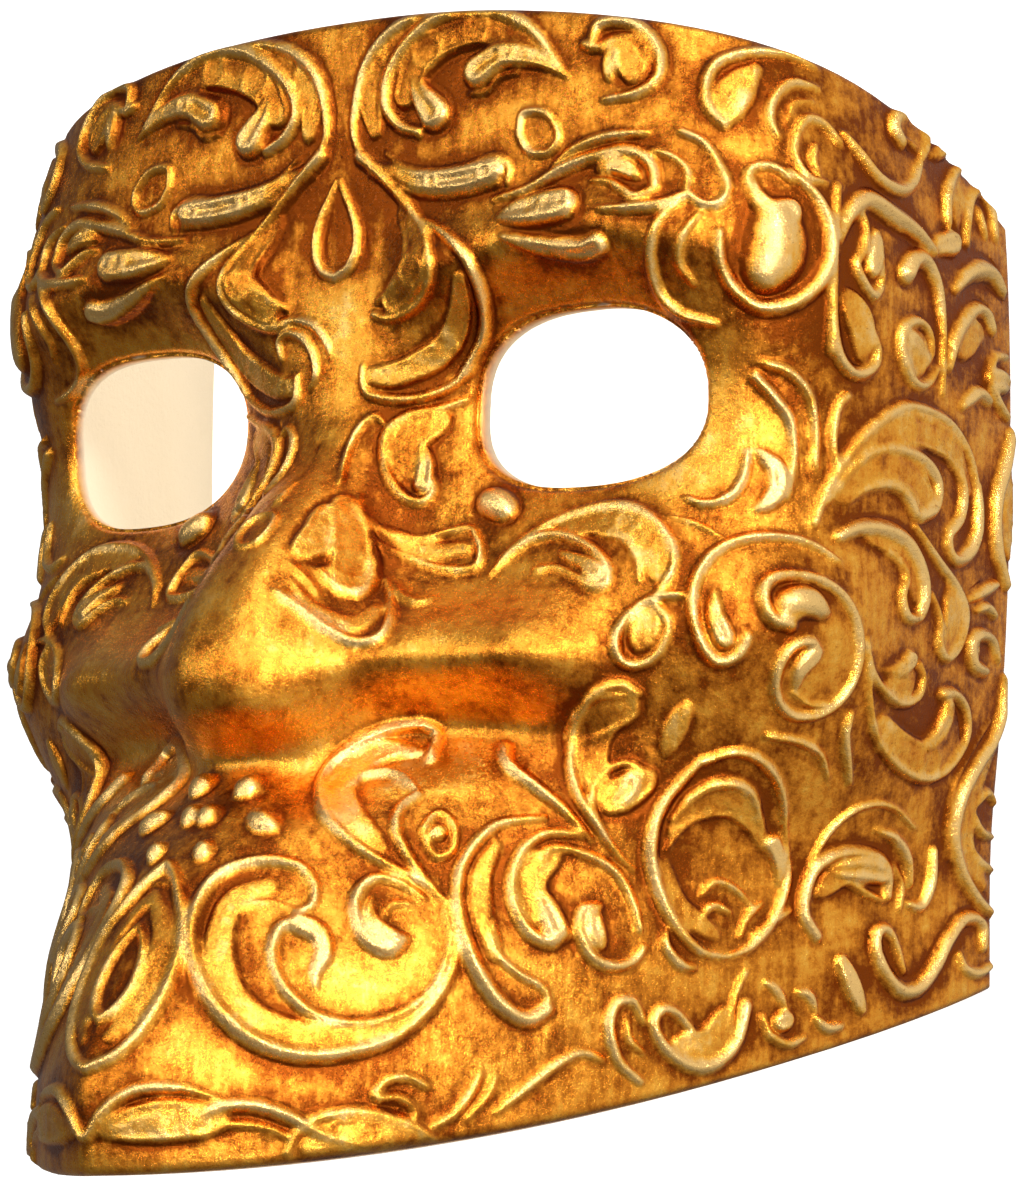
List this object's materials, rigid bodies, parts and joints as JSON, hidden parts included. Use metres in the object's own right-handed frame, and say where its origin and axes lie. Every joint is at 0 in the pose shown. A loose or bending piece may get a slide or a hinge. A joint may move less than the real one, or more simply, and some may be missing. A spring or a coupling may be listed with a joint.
{
  "type": "bauta mask",
  "caption": "Full-face carnival mask with a ledge over a jutting chin, open eyes and gilded raised scrollwork, worn on the face or hung as decoration",
  "frame": {"origin": "centre of the box round the mask, seen from above, at the level of the surface that its back rims lie on", "axes": "the mask lies face up: +X towards the wearer's left, +Y up the face from chin to forehead, +Z out of the face"},
  "size_m": [0.1758, 0.1926, 0.1381],
  "materials": {
    "gilded_papier_mache": "gold leaf over red-brown bole on gessoed papier-mache, rubbed bright on the raised work and dark in the hollows"
  },
  "bodies": {
    "root": {"mask_shell": "gilded_papier_mache"}
  },
  "joints": []
}
